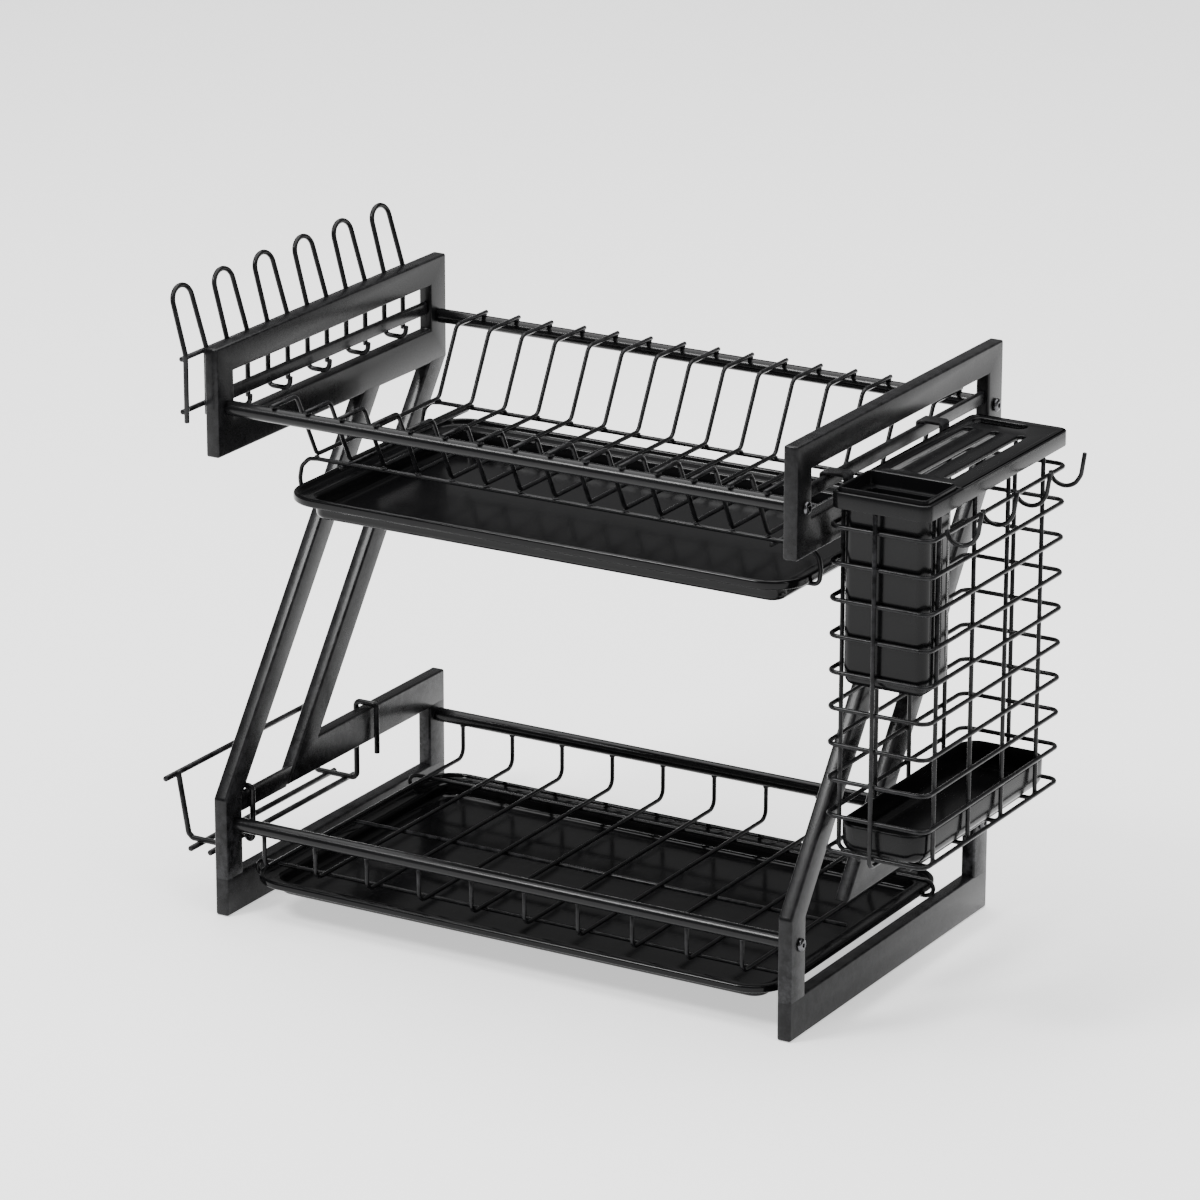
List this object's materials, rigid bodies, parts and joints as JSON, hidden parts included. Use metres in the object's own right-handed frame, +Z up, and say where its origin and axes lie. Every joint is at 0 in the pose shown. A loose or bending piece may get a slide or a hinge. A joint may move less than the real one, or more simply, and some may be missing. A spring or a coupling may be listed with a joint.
{
  "type": "dish drying rack",
  "caption": "Two-tier countertop dish drying rack with Z-shaped side frames, wire plate and bowl racks, sliding drip trays, glass holder, board holder and utensil basket.",
  "frame": {"origin": "middle of the object's footprint, on the surface it stands on", "axes": "+X along the front towards the utensil basket, +Y from the front to the back, +Z up"},
  "size_m": [0.6072, 0.306, 0.4437],
  "materials": {
    "frame_tube": "black satin powder coat on flat steel tube",
    "rail_tube": "black satin powder coat on round tube",
    "rack_wire": "black semi-gloss coating on steel wire",
    "screw_steel": "bright button-head screws",
    "tray_plastic": "black glossy moulded plastic",
    "basket_plastic": "black glossy moulded plastic"
  },
  "bodies": {
    "frame": {"left_base_rail": "frame_tube", "left_front_leg": "frame_tube", "left_rear_leg": "frame_tube", "left_rear_post": "frame_tube", "left_upper_frame": "frame_tube", "left_mid_bar": "frame_tube", "right_base_rail": "frame_tube", "right_front_leg": "frame_tube", "right_rear_leg": "frame_tube", "right_rear_post": "frame_tube", "right_upper_frame": "frame_tube", "right_mid_bar": "frame_tube", "left_hook_strip": "frame_tube", "upper_front_rail": "rail_tube", "left_upper_front_screw": "screw_steel", "right_upper_front_screw": "screw_steel", "upper_back_rail": "rail_tube", "left_upper_back_screw": "screw_steel", "right_upper_back_screw": "screw_steel", "lower_front_rail": "rail_tube", "left_lower_front_screw": "screw_steel", "right_lower_front_screw": "screw_steel", "lower_back_rail": "rail_tube", "left_lower_back_screw": "screw_steel", "right_lower_back_screw": "screw_steel", "plate_divider_01": "rack_wire", "plate_divider_02": "rack_wire", "plate_divider_03": "rack_wire", "plate_divider_04": "rack_wire", "plate_divider_05": "rack_wire", "plate_divider_06": "rack_wire", "plate_divider_07": "rack_wire", "plate_divider_08": "rack_wire", "plate_divider_09": "rack_wire", "plate_divider_10": "rack_wire", "plate_divider_11": "rack_wire", "plate_divider_12": "rack_wire", "plate_divider_13": "rack_wire", "plate_divider_14": "rack_wire", "plate_divider_15": "rack_wire", "plate_rack_carrier": "rack_wire", "bowl_rack": "rack_wire", "cup_holder": "rack_wire", "board_holder": "rack_wire", "basket_left_panel": "rack_wire", "basket_right_panel": "rack_wire", "basket_front_panel": "rack_wire", "basket_back_panel": "rack_wire", "basket_floor": "rack_wire", "basket_front_hanger": "frame_tube", "basket_back_hanger": "frame_tube", "utensil_hook_1": "rack_wire", "utensil_hook_2": "rack_wire", "utensil_hook_3": "rack_wire", "utensil_hook_4": "rack_wire"},
    "upper_drip_tray": {"upper_drip_tray": "tray_plastic"},
    "lower_drip_tray": {"lower_drip_tray": "tray_plastic"},
    "knife_frame": {"knife_frame": "basket_plastic"},
    "cutlery_cup": {"cutlery_cup": "basket_plastic"},
    "basket_drip_tray": {"basket_drip_tray": "basket_plastic"}
  },
  "joints": [
    {"name": "upper_drip_tray_slide", "type": "slide", "parent": "frame", "child": "upper_drip_tray", "axis": [0, -1, 0], "range_m": [0, 0.25]},
    {"name": "lower_drip_tray_slide", "type": "slide", "parent": "frame", "child": "lower_drip_tray", "axis": [0, -1, 0], "range_m": [0, 0.26]},
    {"name": "knife_frame_lift", "type": "slide", "parent": "frame", "child": "knife_frame", "axis": [0, 0, 1], "range_m": [0, 0.14]},
    {"name": "cutlery_cup_lift", "type": "slide", "parent": "knife_frame", "child": "cutlery_cup", "axis": [0, 0, 1], "range_m": [0, 0.14]},
    {"name": "basket_drip_tray_lift", "type": "slide", "parent": "frame", "child": "basket_drip_tray", "axis": [0, 0, 1], "range_m": [0, 0.09]}
  ]
}
